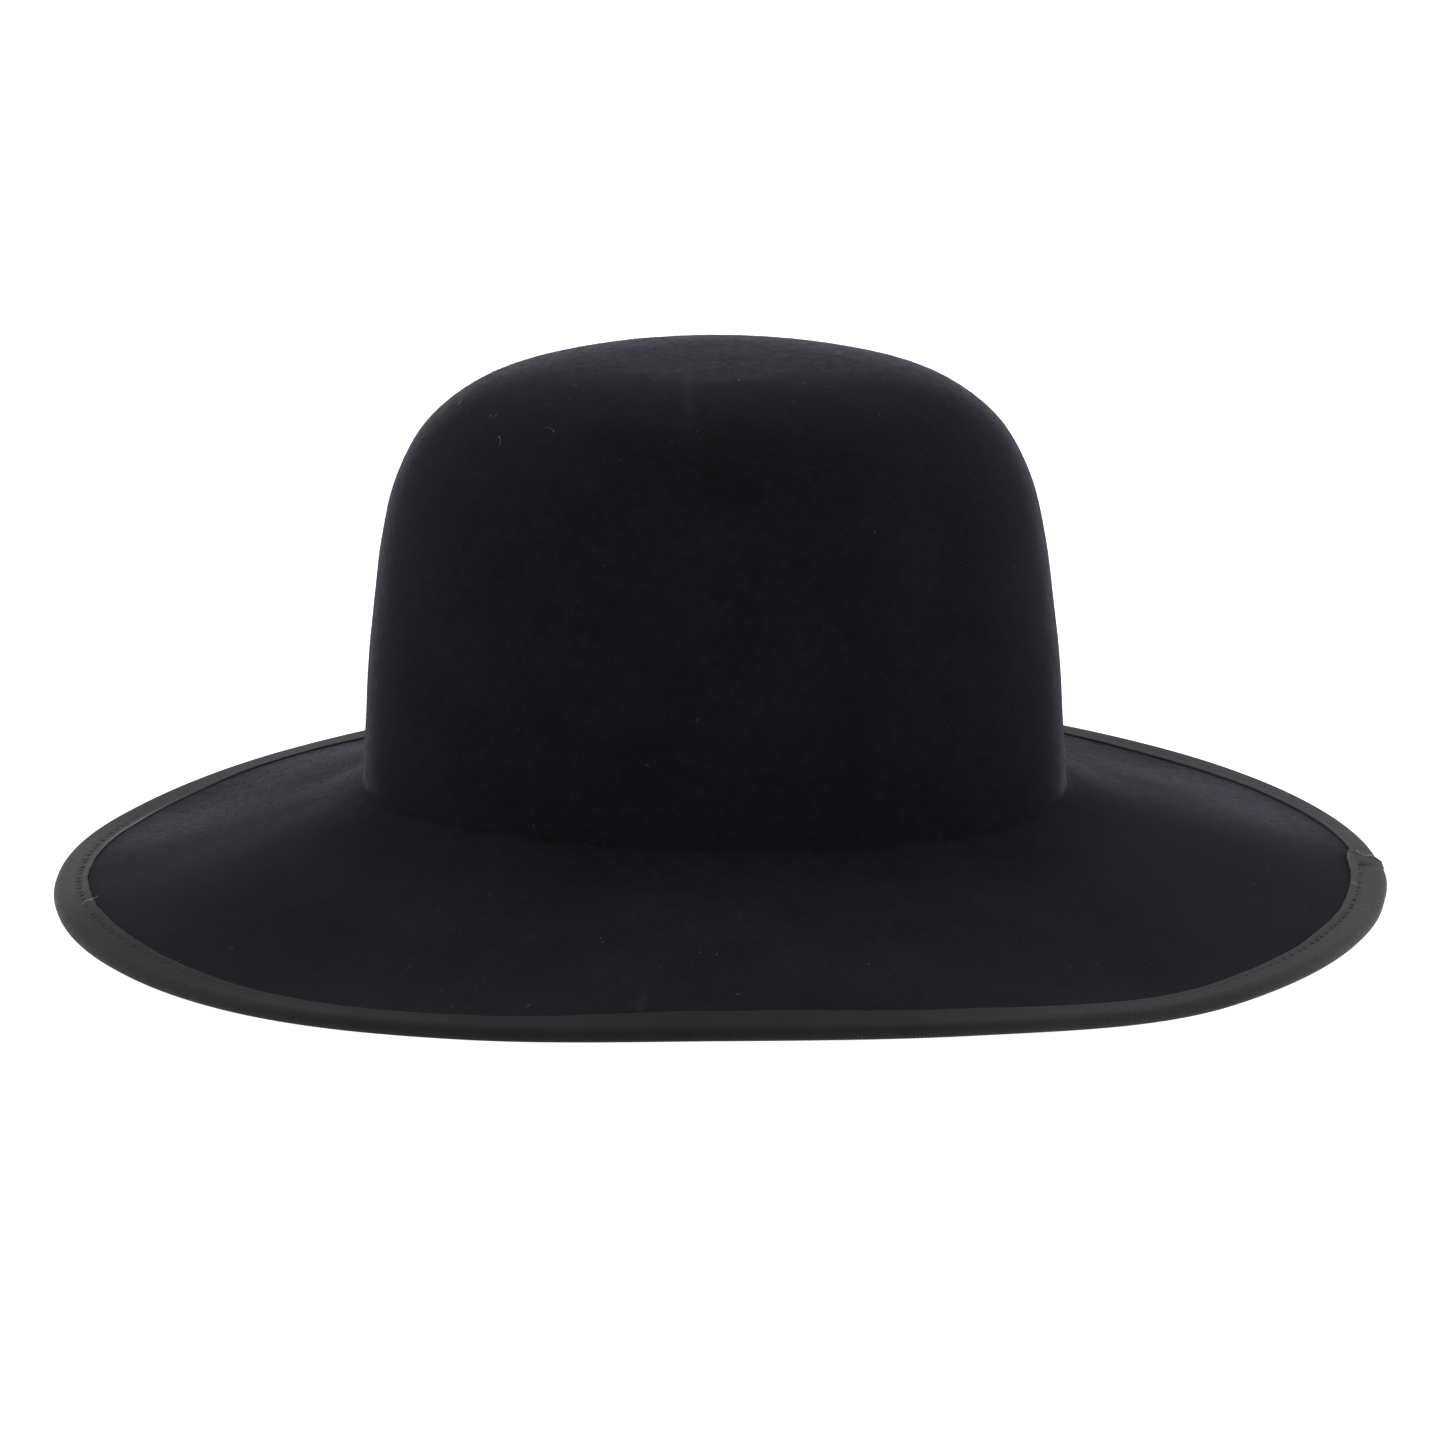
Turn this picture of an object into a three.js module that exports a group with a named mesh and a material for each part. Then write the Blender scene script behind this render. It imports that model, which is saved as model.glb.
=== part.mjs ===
// A felt hat with an open rounded crown, a down-turned brim and a grosgrain ribbon bound over the brim's edge.
// Millimetres, +Z up. The hat rests on the brim's edge at Z = 0, under the middle of its footprint at X = Y = 0.
// The front of the hat points along -X, the back along +X, and the wearer's left side faces -Y.

import * as THREE from 'three';

// Crown and brim felt
const FELT_THICKNESS = 2.6;
const CROWN_LENGTH = 202;
const CROWN_WIDTH = 177;
const CREASE_RADIUS = 4;
const BRIM_DEPTH = 93.5;
const BRIM_DEPTH_BACK_EXTRA = 0.9;

// The crease line between crown and brim sinks at the front and back, leans backwards and twists a little
const CREASE_DIP = 2;
const CREASE_LEAN = 1;
const CREASE_TWIST = 1;

// Half of the crown's outer profile, up the centre back: rise above the mean crease, reach from the middle.
// The rows are about 17.5 mm apart along the felt.
const CROWN_PROFILE = [
  { rise: 0, reach: 101 },
  { rise: 17.5, reach: 100 },
  { rise: 35, reach: 99 },
  { rise: 52.5, reach: 97.2 },
  { rise: 70, reach: 95 },
  { rise: 87, reach: 91 },
  { rise: 102.5, reach: 82.7 },
  { rise: 113.5, reach: 69 },
  { rise: 119.2, reach: 52.5 },
  { rise: 121.7, reach: 35 },
  { rise: 122.4, reach: 17.5 },
  { rise: 122.5, reach: 0 },
];

// The brim's edge at equal steps round the hat, from the centre back over the right side to the front:
// drop of the felt's edge below the mean crease, and tilt of the felt at the edge, in degrees below level.
const BRIM_EDGE = [
  { drop: 32, tilt: 17 },
  { drop: 31, tilt: 10 },
  { drop: 29, tilt: 3 },
  { drop: 26.5, tilt: 13 },
  { drop: 25.5, tilt: 6 },
  { drop: 26.5, tilt: 1 },
  { drop: 29.5, tilt: 10 },
  { drop: 32, tilt: 7 },
  { drop: 32.5, tilt: 15 },
  { drop: 32, tilt: 21 },
  { drop: 30.5, tilt: 2 },
  { drop: 26.5, tilt: 2 },
  { drop: 23, tilt: 15 },
  { drop: 25.5, tilt: 9 },
  { drop: 31.5, tilt: 1 },
  { drop: 33, tilt: 6 },
];

// The felt settles where it carries the hat: no part of its edge drops further than this
const REST_DROP = 32;

// Grosgrain binding, folded over the edge
const RIBBON_THICKNESS = 0.7;
const RIBBON_REACH = 8.3;
const RIBBON_GAP = 0.3;
const LAP_START_DEG = 2.5;
const LAP_END_DEG = 5.5;
const LAP_STEP_DEG = 0.1;
const REST_FLATTENING = 0.25;

// Fineness of the faceted solids
const SECTORS = 72;
const CROWN_RINGS = 19;
const CREASE_RINGS = 3;
const BRIM_RINGS = 6;
const FELT_EDGE_STEPS = 4;
const RIBBON_FOLD_STEPS = 6;
const NORMAL_STEP_DEG = 1;

const FELT_COLOR = 0x17171b;
const FELT_ROUGHNESS = 0.95;
const RIBBON_COLOR = 0x22252a;
const RIBBON_ROUGHNESS = 0.75;

const HALF_LENGTH = CROWN_LENGTH / 2;
const HALF_WIDTH = CROWN_WIDTH / 2;
const HALF_FELT = FELT_THICKNESS / 2;
const RIBBON_INSIDE = HALF_FELT + RIBBON_GAP;
const RIBBON_OUTSIDE = RIBBON_INSIDE + RIBBON_THICKNESS;
const REST_LEVEL = -REST_DROP - RIBBON_OUTSIDE + REST_FLATTENING;
const UP = new THREE.Vector3(0, 0, 1);
const radians = THREE.MathUtils.degToRad;

// Smooth curve through four neighbouring rows of a table, at t between the middle two
function smoothBetween(before, from, to, after, t) {
  const bend = 2 * before - 5 * from + 4 * to - after;
  const turn = -before + 3 * from - 3 * to + after;
  return 0.5 * (2 * from + t * (to - before + t * (bend + t * turn)));
}

// One column of the brim table at a bearing in radians, the table closing on itself
function brimEdgeAt(column, bearing) {
  const count = BRIM_EDGE.length;
  const place = THREE.MathUtils.euclideanModulo(bearing / (2 * Math.PI), 1) * count;
  const row = Math.floor(place);
  const pick = (step) => BRIM_EDGE[(row + step + count) % count][column];
  return smoothBetween(pick(-1), pick(0), pick(1), pick(2), place - row);
}

// Rise and reach of the crown's outside at a place from 0 (crease) to 1 (middle of the top).
// Past either end the profile runs on as its own mirror image.
function crownProfileAt(place) {
  const last = CROWN_PROFILE.length - 1;
  const row = Math.min(Math.floor(place * last), last - 1);
  const pick = (index) => {
    const mirrored = Math.abs(last - Math.abs(last - index));
    const { rise, reach } = CROWN_PROFILE[mirrored];
    return { rise: index < 0 ? -rise : rise, reach: index > last ? -reach : reach };
  };
  const rows = [pick(row - 1), pick(row), pick(row + 1), pick(row + 2)];
  const along = (column) => smoothBetween(...rows.map((entry) => entry[column]), place * last - row);
  return { rise: along('rise'), reach: along('reach') };
}

// Plan of the crown's base: an oval, with its outward direction
function baseOval(bearing) {
  const point = new THREE.Vector3(HALF_LENGTH * Math.cos(bearing), HALF_WIDTH * Math.sin(bearing), 0);
  const outward = new THREE.Vector3(Math.cos(bearing) / HALF_LENGTH, Math.sin(bearing) / HALF_WIDTH, 0);
  return { point, outward: outward.normalize() };
}

function creaseHeight(bearing) {
  const dip = CREASE_DIP * Math.cos(2 * bearing);
  return -dip - CREASE_LEAN * Math.cos(bearing) + CREASE_TWIST * Math.sin(2 * bearing);
}

// The brim in section at one bearing: where it starts at the crease, where its edge is, and its slopes
function brimSection(bearing) {
  const crease = creaseHeight(bearing);
  const tilt = radians(brimEdgeAt('tilt', bearing));
  const edgeHeight = -Math.min(brimEdgeAt('drop', bearing), REST_DROP);
  const depth = BRIM_DEPTH + BRIM_DEPTH_BACK_EXTRA * Math.cos(bearing);
  const fall = crease - edgeHeight;
  const meanSlope = Math.asin(fall / depth);
  const startSlope = Math.atan(2 * Math.tan(meanSlope) - Math.tan(tilt));
  const cornerLength = CREASE_RADIUS * Math.tan((Math.PI / 2 - startSlope) / 2);
  const start = {
    out: cornerLength * Math.cos(startSlope),
    height: crease - cornerLength * Math.sin(startSlope),
  };
  const edge = {
    out: Math.sqrt(depth * depth - fall * fall) + HALF_FELT * Math.sin(tilt),
    height: edgeHeight + HALF_FELT * Math.cos(tilt),
  };
  return { tilt, startSlope, start, edge, wallFoot: crease + cornerLength };
}

// Point on the upper face of the brim, at a share from 0 (crease) to 1 (edge)
function brimPoint(section, oval, share) {
  const { start, edge, startSlope, tilt } = section;
  const run = edge.out - start.out;
  const height = new THREE.CubicBezierCurve(
    new THREE.Vector2(0, start.height),
    new THREE.Vector2(1 / 3, start.height - (run / 3) * Math.tan(startSlope)),
    new THREE.Vector2(2 / 3, edge.height + (run / 3) * Math.tan(tilt)),
    new THREE.Vector2(1, edge.height),
  ).getPoint(share).y;
  const point = oval.point.clone().addScaledVector(oval.outward, start.out + run * share);
  return point.setZ(height);
}

// Point on the tight curve between the crown's wall and the brim, at a share from 0 (wall) to 1 (brim)
function creasePoint(section, oval, share) {
  const turn = share * (Math.PI / 2 - section.startSlope);
  const point = oval.point.clone();
  point.addScaledVector(oval.outward, CREASE_RADIUS * (1 - Math.cos(turn)));
  return point.setZ(section.wallFoot - CREASE_RADIUS * Math.sin(turn));
}

// Point on the crown's outside, at a place from 0 (foot of the wall) to 1 (middle of the top)
function crownPoint(section, bearing, place) {
  const { rise, reach } = crownProfileAt(place);
  const top = CROWN_PROFILE[CROWN_PROFILE.length - 1].rise;
  const lift = section.wallFoot * (1 - rise / top) ** 2;
  const share = reach / HALF_LENGTH;
  return new THREE.Vector3(
    share * HALF_LENGTH * Math.cos(bearing),
    share * HALF_WIDTH * Math.sin(bearing),
    rise + lift,
  );
}

// Upper face of the felt at one bearing, from just beside the middle of the crown to the brim's edge
function upperFace(bearing) {
  const section = brimSection(bearing);
  const oval = baseOval(bearing);
  const points = [];
  for (let ring = 1; ring <= CROWN_RINGS; ring += 1) {
    points.push(crownPoint(section, bearing, 1 - ring / CROWN_RINGS));
  }
  for (let ring = 1; ring <= CREASE_RINGS; ring += 1) {
    points.push(creasePoint(section, oval, ring / CREASE_RINGS));
  }
  const ribbonShare = 1 - RIBBON_REACH / (section.edge.out - section.start.out);
  for (let ring = 1; ring <= BRIM_RINGS; ring += 1) {
    points.push(brimPoint(section, oval, (ribbonShare * ring) / BRIM_RINGS));
  }
  points.push(brimPoint(section, oval, 1));
  return points;
}

// Upper face with the outward direction at each of its points, for a list of bearings
function feltSurface(bearings) {
  const side = radians(NORMAL_STEP_DEG);
  return bearings.map((bearing) => {
    const points = upperFace(bearing);
    const left = upperFace(bearing - side);
    const right = upperFace(bearing + side);
    const normals = points.map((point, ring) => {
      const inner = ring === 0 ? points[0].clone().setX(0).setY(0) : points[ring - 1];
      const outer = points[Math.min(ring + 1, points.length - 1)];
      const downhill = outer.clone().sub(inner);
      const around = right[ring].clone().sub(left[ring]);
      return downhill.cross(around).normalize();
    });
    return { points, normals };
  });
}

// Closed body from rings of points. Each ring runs once round the hat, and each ring joins the next.
// A first or last ring of one point is a pole, and without poles the last ring joins the first.
function bodyFromRings(rings) {
  const positions = [];
  const starts = rings.map((ring) => {
    const start = positions.length / 3;
    ring.forEach((point) => positions.push(point.x, point.y, point.z));
    return start;
  });
  const indices = [];
  const hasPoles = rings[0].length === 1;
  const bands = hasPoles ? rings.length - 1 : rings.length;
  for (let band = 0; band < bands; band += 1) {
    const next = (band + 1) % rings.length;
    const around = Math.max(rings[band].length, rings[next].length);
    for (let step = 0; step < around; step += 1) {
      const after = (step + 1) % around;
      const a = starts[band] + (rings[band].length === 1 ? 0 : step);
      const b = starts[band] + (rings[band].length === 1 ? 0 : after);
      const c = starts[next] + (rings[next].length === 1 ? 0 : after);
      const d = starts[next] + (rings[next].length === 1 ? 0 : step);
      if (a !== b) {
        indices.push(a, d, b);
      }
      if (c !== d) {
        indices.push(b, d, c);
      }
    }
  }
  const geometry = new THREE.BufferGeometry();
  geometry.setAttribute('position', new THREE.Float32BufferAttribute(positions, 3));
  geometry.setIndex(indices);
  geometry.computeVertexNormals();
  return geometry;
}

// Point beside the felt's middle layer: turned from its upper side (0) round the edge to its lower side (180)
function besideMiddle(column, ring, distance, turn) {
  const point = column.points[ring];
  const normal = column.normals[ring];
  const along = point.clone().sub(column.points[ring - 1]);
  const outward = along.addScaledVector(normal, -along.dot(normal)).normalize();
  return point
    .clone()
    .addScaledVector(normal, -HALF_FELT + distance * Math.cos(turn))
    .addScaledVector(outward, distance * Math.sin(turn));
}

// Crown and brim, one piece of felt: outside, round the edge, and back up the inside
function feltBodyGeometry() {
  const bearings = Array.from({ length: SECTORS }, (_, step) => (step / SECTORS) * 2 * Math.PI);
  const columns = feltSurface(bearings);
  const last = columns[0].points.length - 1;
  const top = new THREE.Vector3(0, 0, CROWN_PROFILE[CROWN_PROFILE.length - 1].rise);
  const rings = [[top]];
  for (let ring = 0; ring <= last; ring += 1) {
    rings.push(columns.map((column) => column.points[ring]));
  }
  for (let step = 1; step < FELT_EDGE_STEPS; step += 1) {
    const turn = (step / FELT_EDGE_STEPS) * Math.PI;
    rings.push(columns.map((column) => besideMiddle(column, last, HALF_FELT, turn)));
  }
  for (let ring = last; ring >= 0; ring -= 1) {
    rings.push(
      columns.map((column) => column.points[ring].clone().addScaledVector(column.normals[ring], -FELT_THICKNESS)),
    );
  }
  rings.push([top.clone().addScaledVector(UP, -FELT_THICKNESS)]);
  return bodyFromRings(rings);
}

// Ribbon round the brim's edge, doubled where its ends lap, and pressed level where the hat stands on it
function brimBindingGeometry() {
  const lapEdges = [LAP_START_DEG, LAP_START_DEG + LAP_STEP_DEG, LAP_END_DEG, LAP_END_DEG + LAP_STEP_DEG];
  const even = Array.from({ length: SECTORS }, (_, step) => (step / SECTORS) * 360);
  const degrees = [...even, ...lapEdges].sort((one, other) => one - other);
  const columns = feltSurface(degrees.map(radians));
  const last = columns[0].points.length - 1;
  const outsideAt = degrees.map((degree) => {
    const lapped = degree > LAP_START_DEG && degree < LAP_END_DEG + LAP_STEP_DEG;
    return RIBBON_OUTSIDE + (lapped ? RIBBON_THICKNESS : 0);
  });
  const ringAt = (ring, distanceAt, turn) =>
    columns.map((column, step) => besideMiddle(column, ring, distanceAt(step), turn));
  const outside = (step) => outsideAt[step];
  const inside = () => RIBBON_INSIDE;
  const rings = [ringAt(last - 1, outside, 0)];
  for (let fold = 0; fold <= RIBBON_FOLD_STEPS; fold += 1) {
    rings.push(ringAt(last, outside, (fold / RIBBON_FOLD_STEPS) * Math.PI));
  }
  rings.push(ringAt(last - 1, outside, Math.PI));
  rings.push(ringAt(last - 1, inside, Math.PI));
  for (let fold = FELT_EDGE_STEPS; fold >= 0; fold -= 1) {
    rings.push(ringAt(last, inside, (fold / FELT_EDGE_STEPS) * Math.PI));
  }
  rings.push(ringAt(last - 1, inside, 0));
  rings.flat().forEach((point) => point.setZ(Math.max(point.z, REST_LEVEL)));
  return bodyFromRings(rings);
}

function pieceOf(name, geometry, color, roughness) {
  const material = new THREE.MeshStandardMaterial({ color, roughness, metalness: 0 });
  const piece = new THREE.Mesh(geometry, material);
  piece.name = name;
  return piece;
}

const feltBody = pieceOf('felt_body', feltBodyGeometry(), FELT_COLOR, FELT_ROUGHNESS);
const brimBinding = pieceOf('brim_binding', brimBindingGeometry(), RIBBON_COLOR, RIBBON_ROUGHNESS);

// Stand the hat on its rest level, with the middle of its footprint at the origin
const footprint = new THREE.Box3().setFromObject(brimBinding);
const middle = footprint.getCenter(new THREE.Vector3());
[feltBody, brimBinding].forEach((piece) => piece.position.set(-middle.x, -middle.y, -footprint.min.z));

const hat = new THREE.Group();
hat.add(feltBody, brimBinding);

export default hat;
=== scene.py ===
import math

import bpy
import numpy as np
from mathutils import Matrix, Vector, noise


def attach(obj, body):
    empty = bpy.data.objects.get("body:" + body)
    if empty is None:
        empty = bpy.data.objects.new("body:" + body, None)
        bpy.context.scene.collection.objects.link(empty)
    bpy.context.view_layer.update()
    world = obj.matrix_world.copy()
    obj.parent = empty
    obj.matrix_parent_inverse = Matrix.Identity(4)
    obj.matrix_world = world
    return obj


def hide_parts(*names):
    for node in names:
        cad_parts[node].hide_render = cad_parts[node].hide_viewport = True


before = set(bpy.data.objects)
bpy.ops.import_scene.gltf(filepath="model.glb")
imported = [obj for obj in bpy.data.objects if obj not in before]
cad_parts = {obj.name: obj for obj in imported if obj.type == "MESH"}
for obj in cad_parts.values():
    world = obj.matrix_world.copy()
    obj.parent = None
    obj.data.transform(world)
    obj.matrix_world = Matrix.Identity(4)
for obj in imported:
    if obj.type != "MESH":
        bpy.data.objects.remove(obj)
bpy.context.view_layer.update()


# Felt hood. Crown and brim are one piece of black fur felt, 2.6 mm thick, steamed over an oval block.
# The brim is ironed out and turned down, so the wall runs into it in one tight curve with no seam.
# A crease is pressed in round the foot of the wall. Sizes are in the block's own millimetres.

FELT_THICKNESS = 2.6
HALF_FELT = FELT_THICKNESS / 2
HALF_LENGTH = 101
HALF_WIDTH = 88.5
CROWN_HEIGHT = 122.5
CREASE_RADIUS = 4
BRIM_DEPTH = 93.5
BRIM_DEPTH_BACK_EXTRA = 0.9
CREASE_DIP = 2
CREASE_LEAN = 1
CREASE_TWIST = 1
REST_DROP = 32
REST_SOFTNESS = 0.12
HAT_SHIFT = np.array([-1.5287, 0.3462, 34.05])

# Rise and reach of half of the crown, from the foot of the wall to the middle of the top
CROWN_PROFILE = np.array([
    (0, 101),
    (17.5, 100),
    (35, 99),
    (52.5, 97.2),
    (70, 95),
    (87, 91),
    (102.5, 82.7),
    (113.5, 69),
    (119.2, 52.5),
    (121.7, 35),
    (122.4, 17.5),
    (122.5, 0),
])

# Drop and tilt of the brim's edge, at equal steps from the centre back over the right side
BRIM_EDGE = np.array([
    (32, 17),
    (31, 10),
    (29, 3),
    (26.5, 13),
    (25.5, 6),
    (26.5, 1),
    (29.5, 10),
    (32, 7),
    (32.5, 15),
    (32, 21),
    (30.5, 2),
    (26.5, 2),
    (23, 15),
    (25.5, 9),
    (31.5, 1),
    (33, 6),
])

WAVE_SIZE = 48
WAVE_HEIGHT = 0.22
RIPPLE_SIZE = 11
RIPPLE_HEIGHT = 0.045
NAP_END_STATION = 2.89
PRESSED_LINE_DEPTH = 0.16
PRESSED_LINE_STATION = 1.42
PUCKER_BEARING = math.radians(263.2)
PUCKER_WIDTH = math.radians(0.42)
PUCKER_REACH_DEGREES = 1.3
PUCKER_HEIGHT = 0.6
PUCKER_FOOT = 0.915
PUCKER_LENGTH = 0.1
BRUSHED_ROUND = 0.85
BRUSHED_DOWN = 0.5
FELT_DARK = (0.0022, 0.0022, 0.0028)
FELT_LIGHT = (0.0090, 0.0089, 0.0111)
FELT_SPECULAR = 0.05
SHEEN_ROUGHNESS = 0.3
FUR_TINT = (0.79, 0.78, 1.0, 1)


def smooth_between(before, start, end, after, share):
    """Smooth curve through four neighbouring rows, between the middle two."""
    bend = 2 * before - 5 * start + 4 * end - after
    turn = -before + 3 * start - 3 * end + after
    return 0.5 * (2 * start + share * (end - before + share * (bend + share * turn)))


def brim_edge(column, bearing):
    """One column of the brim table at a bearing in radians."""
    count = len(BRIM_EDGE)
    place = (bearing / (2 * np.pi)) % 1 * count
    row = np.floor(place).astype(int)
    rows = [BRIM_EDGE[(row + step) % count, column] for step in (-1, 0, 1, 2)]
    return smooth_between(*rows, place - row)


def crown_profile(place):
    """Rise and reach at a place from 0, the foot of the wall, to 1, the middle of the top."""
    last = len(CROWN_PROFILE) - 1
    row = np.minimum(np.floor(place * last), last - 1).astype(int)
    rows = []
    for step in (-1, 0, 1, 2):
        index = row + step
        mirrored = np.abs(last - np.abs(last - index))
        rise = CROWN_PROFILE[mirrored, 0] * np.where(index < 0, -1, 1)
        reach = CROWN_PROFILE[mirrored, 1] * np.where(index > last, -1, 1)
        rows.append(np.stack([rise, reach]))
    return smooth_between(*rows, place * last - row)


def upper_face(station, bearing):
    """Upper face of the felt: station 0 is the middle of the top, 1 the foot of the wall,
    2 the start of the brim and 3 the brim's edge."""
    crease = -CREASE_DIP * np.cos(2 * bearing) - CREASE_LEAN * np.cos(bearing)
    crease = crease + CREASE_TWIST * np.sin(2 * bearing)
    tilt = np.radians(brim_edge(1, bearing))
    edge_level = -REST_DROP + REST_SOFTNESS * np.log1p(
        np.exp((REST_DROP - brim_edge(0, bearing)) / REST_SOFTNESS)
    )
    depth = BRIM_DEPTH + BRIM_DEPTH_BACK_EXTRA * np.cos(bearing)
    fall = crease - edge_level
    start_slope = np.arctan(2 * np.tan(np.arcsin(fall / depth)) - np.tan(tilt))
    corner = CREASE_RADIUS * np.tan((np.pi / 2 - start_slope) / 2)
    start_out = corner * np.cos(start_slope)
    start_height = crease - corner * np.sin(start_slope)
    edge_out = np.sqrt(depth**2 - fall**2) + HALF_FELT * np.sin(tilt)
    edge_height = edge_level + HALF_FELT * np.cos(tilt)
    wall_foot = crease + corner

    rise, reach = crown_profile(1 - np.clip(station, 0, 1))
    crown_lift = wall_foot * (1 - rise / CROWN_HEIGHT) ** 2
    turn = np.clip(station - 1, 0, 1) * (np.pi / 2 - start_slope)
    share = np.clip(station - 2, 0, 1)
    run = edge_out - start_out
    heights = (
        start_height,
        start_height - run / 3 * np.tan(start_slope),
        edge_height + run / 3 * np.tan(tilt),
        edge_height,
    )
    weights = (
        (1 - share) ** 3,
        3 * share * (1 - share) ** 2,
        3 * share**2 * (1 - share),
        share**3,
    )
    on_brim = station > 2
    on_crease = (station > 1) & ~on_brim
    out = np.where(on_crease, CREASE_RADIUS * (1 - np.cos(turn)), 0)
    out = np.where(on_brim, start_out + run * share, out)
    height = np.where(on_crease, wall_foot - CREASE_RADIUS * np.sin(turn), rise + crown_lift)
    brim_height = sum(w * h for w, h in zip(weights, heights))
    height = np.where(on_brim, brim_height, height)
    size = np.where(station < 1, reach / HALF_LENGTH, 1)
    across = np.stack([np.cos(bearing) / HALF_LENGTH, np.sin(bearing) / HALF_WIDTH])
    across = across / np.linalg.norm(across, axis=0)
    x = size * HALF_LENGTH * np.cos(bearing) + across[0] * out
    y = size * HALF_WIDTH * np.sin(bearing) + across[1] * out
    return np.stack([x, y, height], axis=-1), run


def unit(vectors):
    return vectors / np.maximum(np.linalg.norm(vectors, axis=-1, keepdims=True), 1e-12)


def felt_frame(station, bearing):
    """Point on the upper face, its outward normal, its direction to the edge, and the brim's run."""
    station, bearing = np.broadcast_arrays(station, bearing)
    step = 0.002
    point, run = upper_face(station, bearing)
    lower = upper_face(np.minimum(station + step, 3), bearing)[0]
    higher = upper_face(np.maximum(station - step, 0.0001), bearing)[0]
    after = upper_face(station, bearing + step)[0]
    before = upper_face(station, bearing - step)[0]
    downhill = unit(lower - higher)
    normal = unit(np.cross(downhill, unit(after - before)))
    downhill = unit(downhill - normal * np.sum(downhill * normal, axis=-1, keepdims=True))
    return point, normal, downhill, run


def hump(value, middle, width):
    return np.exp(-((value - middle) / width) ** 2)


def eased(value, low, high):
    share = np.clip((value - low) / (high - low), 0, 1)
    return share * share * (3 - 2 * share)


def noise_of(points, size):
    """Smooth random value at each point, whose patches are about this size."""
    flat = points.reshape(-1, 3) / size
    return np.array([noise.noise(Vector(p)) for p in flat]).reshape(points.shape[:-1])


def felt_upper(station, bearing):
    """Upper face with the slight waves of steaming, the pressed line and the pucker at the ribbon."""
    point, normal, downhill, _ = felt_frame(station, bearing)
    station = np.broadcast_to(station, normal.shape[:-1])
    share = station - 2
    free = 1 - eased(share, 0.8, 0.9)
    lift = WAVE_HEIGHT * noise_of(point, WAVE_SIZE) + RIPPLE_HEIGHT * noise_of(point, RIPPLE_SIZE)
    lift = lift * free
    lift = lift - PRESSED_LINE_DEPTH * hump(station, PRESSED_LINE_STATION, 0.13)
    across = (np.broadcast_to(bearing, share.shape) - PUCKER_BEARING) / PUCKER_WIDTH
    along = np.clip((PUCKER_FOOT - share) / PUCKER_LENGTH, 0, 3)
    pucker = PUCKER_HEIGHT * np.exp(-across**2 * (1 + along)) * np.exp(-along**2)
    lift = lift + pucker * (1 - eased(share, PUCKER_FOOT, PUCKER_FOOT + 0.02))
    return point + normal * lift[..., None], normal, downhill


def in_place(points):
    """From the block's own millimetres to the hat's place, in metres."""
    return (points + HAT_SHIFT) * 0.001


def bands(starts, count):
    """Faces between rings of the same count, from the number of each ring's first point."""
    step = np.arange(count)
    after = (step + 1) % count
    faces = []
    for first, second in zip(starts[:-1], starts[1:]):
        band = [first + step, second + step, second + after, first + after]
        faces += np.stack(band, axis=1).tolist()
    return faces


def in_the_scene(name, data):
    piece = bpy.data.objects.new(name, data)
    bpy.context.scene.collection.objects.link(piece)
    return piece


def mesh_object(name, points, faces):
    mesh = bpy.data.meshes.new(name)
    mesh.from_pydata(points.tolist(), [], faces)
    mesh.polygons.foreach_set("use_smooth", [True] * len(mesh.polygons))
    mesh.update()
    return in_the_scene(name, mesh)


def add_attribute(piece, name, values, kind="FLOAT"):
    attribute = piece.data.attributes.new(name, kind, "POINT")
    field = "vector" if kind == "FLOAT_VECTOR" else "value"
    attribute.data.foreach_set(field, np.asarray(values, np.float32).ravel())


def closed_rings(name, rings):
    """Closed mesh from rings of points that all have the same count, but for a pole at either end."""
    starts = np.cumsum([0] + [len(ring) for ring in rings])
    count = len(rings[1])
    step = np.arange(count)
    after = (step + 1) % count
    top = np.stack([np.zeros(count, int), starts[1] + step, starts[1] + after], axis=1)
    last, pole = starts[-3], starts[-2]
    bottom = np.stack([last + step, np.full(count, pole), last + after], axis=1)
    faces = top.tolist() + bottom.tolist() + bands(starts[1:-2], count)
    return mesh_object(name, np.concatenate(rings), faces)


def felt_bearings():
    """One bearing a degree, and closer ones across the pucker."""
    middle = math.degrees(PUCKER_BEARING)
    close = middle + np.linspace(-PUCKER_REACH_DEGREES, PUCKER_REACH_DEGREES, 19)
    even = np.arange(360)
    even = even[np.abs(even - middle) > PUCKER_REACH_DEGREES + 0.15]
    return np.radians(np.sort(np.concatenate([even, close])))


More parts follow.
